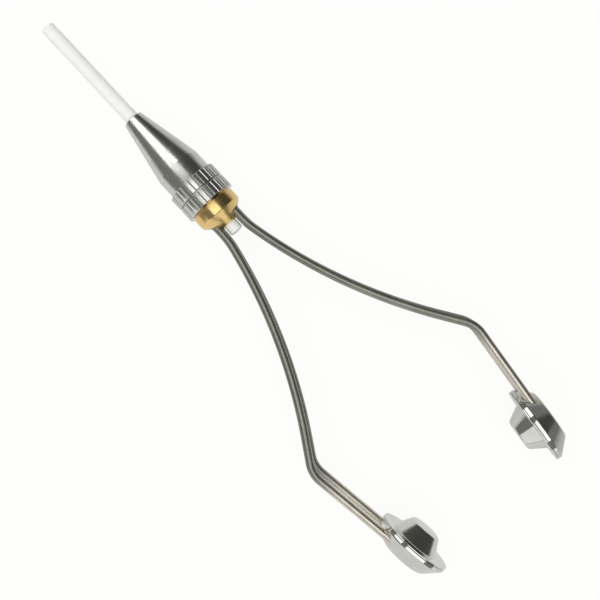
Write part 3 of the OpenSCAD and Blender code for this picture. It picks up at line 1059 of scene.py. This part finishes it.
class BOBBIN_OT_inner_parts(bpy.types.Operator):
    """Gives the parts kept from the frame their finishes"""

    bl_idname = "bobbin.inner_parts"
    bl_label = "Inner parts"

    def execute(self, context):
        for name, finish in CAD_FINISHES.items():
            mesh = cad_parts[name].data
            mesh.materials.clear()
            mesh.materials.append(material_named(finish))
        return {"FINISHED"}


def mix_shaders(tree, share, first, second, output):
    """Mixes two shader nodes, the second where the share is 1, into a new output node."""
    mix = node(tree, "ShaderNodeMixShader")
    for index, socket in enumerate((share, first.outputs[0], second.outputs[0])):
        feed(mix.inputs[index], socket)
    node(tree, output, Surface=mix.outputs[0])


def area_light(name, place, target, width, height, radiance):
    """Soft box at a place, facing a target, unseen by the camera itself.

    Its power is pi times its area times its radiance, where 1 looks white.
    """
    lamp = bpy.data.lights.new(name, "AREA")
    lamp.shape = "RECTANGLE"
    lamp.size = width
    lamp.size_y = height
    lamp.energy = math.pi * width * height * radiance
    made = linked(name, lamp)
    made.location = place
    made.rotation_euler = (Vector(target) - Vector(place)).to_track_quat("-Z", "Y").to_euler()
    made.visible_camera = False
    return made


class BOBBIN_OT_stage(bpy.types.Operator):
    """Makes the floor, the light, the background and the camera"""

    bl_idname = "bobbin.stage"
    bl_label = "Stage"

    def execute(self, context):
        settings = context.scene.bobbin_stage
        self.floor(settings)
        self.world(context)
        self.lights()
        self.camera(context, settings)
        context.scene.view_settings.view_transform = "Standard"
        return {"FINISHED"}

    def floor(self, settings):
        """Round floor under the tool; it falls towards the feet, which stand deeper.

        It shows white, and keeps a share of the shadow. For metal it glows as a painted
        reflection, less on the tool's right side than on its left.
        """
        angle = full_turn(FLOOR_SIDES)
        radius = np.array([0.0005, settings.floor_radius])[:, None]
        across = radius * np.cos(angle)
        height = settings.floor_at_mouth + math.tan(settings.floor_tilt) * across
        grid = np.stack([across, radius * np.sin(angle), height], -1)
        mesh = bpy.data.meshes.new("floor")
        mesh.from_pydata(grid.reshape(-1, 3).tolist(), [],
                         grid_faces(2, FLOOR_SIDES).tolist() + [list(range(FLOOR_SIDES))])
        linked("floor", mesh)
        material = bpy.data.materials.new("floor_white")
        mesh.materials.append(material)
        tree = emptied_tree(material)
        place = node(tree, "ShaderNodeTexCoord").outputs["Object"]
        rays = node(tree, "ShaderNodeLightPath").outputs
        # Painted reflection: the glow that metal sees falls from 0.74 to 0.14 towards the tool's
        # right side
        reflected_glow = spread(tree, parts_of(tree, place)[1], -0.060, 0.0, 0.14, 0.74)
        shine = node(tree, "ShaderNodeMix")
        for index, value in ((0, rays["Is Glossy Ray"]), (2, 1.0), (3, reflected_glow)):
            feed(shine.inputs[index], value)
        plain = node(tree, "ShaderNodeBsdfDiffuse", Color=(0.85, 0.85, 0.845, 1.0))
        glow = node(tree, "ShaderNodeEmission", Color=(1.0, 1.0, 0.99, 1.0),
                    Strength=shine.outputs[0])
        seen = greater(tree, rays["Is Camera Ray"],
                       greater(tree, rays["Is Glossy Ray"], rays["Is Transmission Ray"]))
        mix_shaders(tree, times(tree, seen, 0.93), plain, glow, "ShaderNodeOutputMaterial")

    def world(self, context):
        """White where the camera looks past the floor; for the object, a dim studio that
        is darker on its right side."""
        world = context.scene.world = bpy.data.worlds.new("studio")
        tree = emptied_tree(world)
        rays = node(tree, "ShaderNodeLightPath").outputs
        way = node(tree, "ShaderNodeTexCoord").outputs["Generated"]
        side = spread(tree, parts_of(tree, way)[1], -0.8, 0.0)
        room = mixed(tree, side, (0.06, 0.06, 0.055, 1.0), (0.19, 0.19, 0.18, 1.0))
        lit = node(tree, "ShaderNodeBackground", Color=room)
        seen = node(tree, "ShaderNodeBackground", Color=(1.0, 1.0, 1.0, 1.0))
        share = greater(tree, rays["Is Camera Ray"], rays["Is Transmission Ray"])
        mix_shaders(tree, share, lit, seen, "ShaderNodeOutputWorld")

    def lights(self):
        """A long soft box overhead, one in front, one behind, a dim one at the left, and a
        plain fill.

        The fill isn't seen in the metal, so that it lights the white tube alone.
        """
        middle = (-0.06, 0.0, 0.0)
        area_light("overhead_box", (-0.735, 0.0, 1.60), (-0.735, 0.0, 0.0), 2.37, 1.32, 1.15)
        area_light("front_box", (0.71, -0.03, 0.64), middle, 0.80, 0.58, 1.6)
        area_light("left_box", (-0.28, 0.46, 0.15), (-0.106, 0.0, 0.0), 0.62, 0.30, 0.70)
        area_light("rear_box", (-1.00, 0.06, 0.055), middle, 0.56, 0.17, 0.75)
        fill = area_light("fill", (0.0, 0.0, 1.2), (0.0, 0.0, 0.0), 3.6, 3.6, 0.66)
        fill.visible_glossy = False

    def camera(self, context, settings):
        """Camera where the photograph was taken, looking down on the tool."""
        data = bpy.data.cameras.new("camera")
        data.lens = settings.lens
        data.sensor_width = 36.0
        data.clip_start = 0.01
        data.clip_end = 20.0
        made = linked("camera", data)
        place = (-0.064676, -0.012595, 0.158412)
        tip, swing, roll = -0.08063, 0.01007, -3.96148
        turn = (
            Matrix.Rotation(roll, 3, "Z") @ Matrix.Rotation(swing, 3, "Y")
            @ Matrix.Rotation(tip, 3, "X")
        ).transposed()
        made.matrix_world = Matrix.Translation(place) @ turn.to_4x4()
        context.scene.camera = made


class BOBBIN_PT_panel(bpy.types.Panel):
    """Lists the pieces in the 3D view's sidebar"""

    bl_idname = "BOBBIN_PT_panel"
    bl_label = "Bobbin holder"
    bl_space_type = "VIEW_3D"
    bl_region_type = "UI"
    bl_category = "Bobbin holder"

    def draw(self, context):
        for operator in OPERATORS:
            self.layout.operator(operator.bl_idname)
        for group in GROUPS:
            box = self.layout.box()
            holder = getattr(context.scene, group)
            for name in holder.bl_rna.properties.keys():
                if name not in ("rna_type", "name"):
                    box.prop(holder, name)


OPERATORS = (
    BOBBIN_OT_finishes,
    BOBBIN_OT_thread_tube,
    BOBBIN_OT_nose,
    BOBBIN_OT_lock_ring,
    BOBBIN_OT_hub,
    BOBBIN_OT_arms,
    BOBBIN_OT_caps,
    BOBBIN_OT_plugs,
    BOBBIN_OT_inner_parts,
    BOBBIN_OT_stage,
)


def register():
    """Registers the classes, and gives the scene its groups of sizes and colours."""
    for group in GROUPS.values():
        bpy.utils.register_class(group)
    for operator in OPERATORS:
        bpy.utils.register_class(operator)
    bpy.utils.register_class(BOBBIN_PT_panel)
    for name, group in GROUPS.items():
        setattr(bpy.types.Scene, name, bpy.props.PointerProperty(type=group))


def unregister():
    """Takes back what register made."""
    for name in GROUPS:
        delattr(bpy.types.Scene, name)
    bpy.utils.unregister_class(BOBBIN_PT_panel)
    for operator in reversed(OPERATORS):
        bpy.utils.unregister_class(operator)
    for group in reversed(list(GROUPS.values())):
        bpy.utils.unregister_class(group)


def main():
    """Builds every piece in order."""
    register()
    bpy.ops.bobbin.finishes()
    bpy.ops.bobbin.thread_tube()
    bpy.ops.bobbin.nose()
    bpy.ops.bobbin.lock_ring()
    bpy.ops.bobbin.hub()
    bpy.ops.bobbin.arms()
    bpy.ops.bobbin.caps()
    bpy.ops.bobbin.plugs()
    bpy.ops.bobbin.inner_parts()
    bpy.ops.bobbin.stage()


if __name__ == "__main__":
    main()
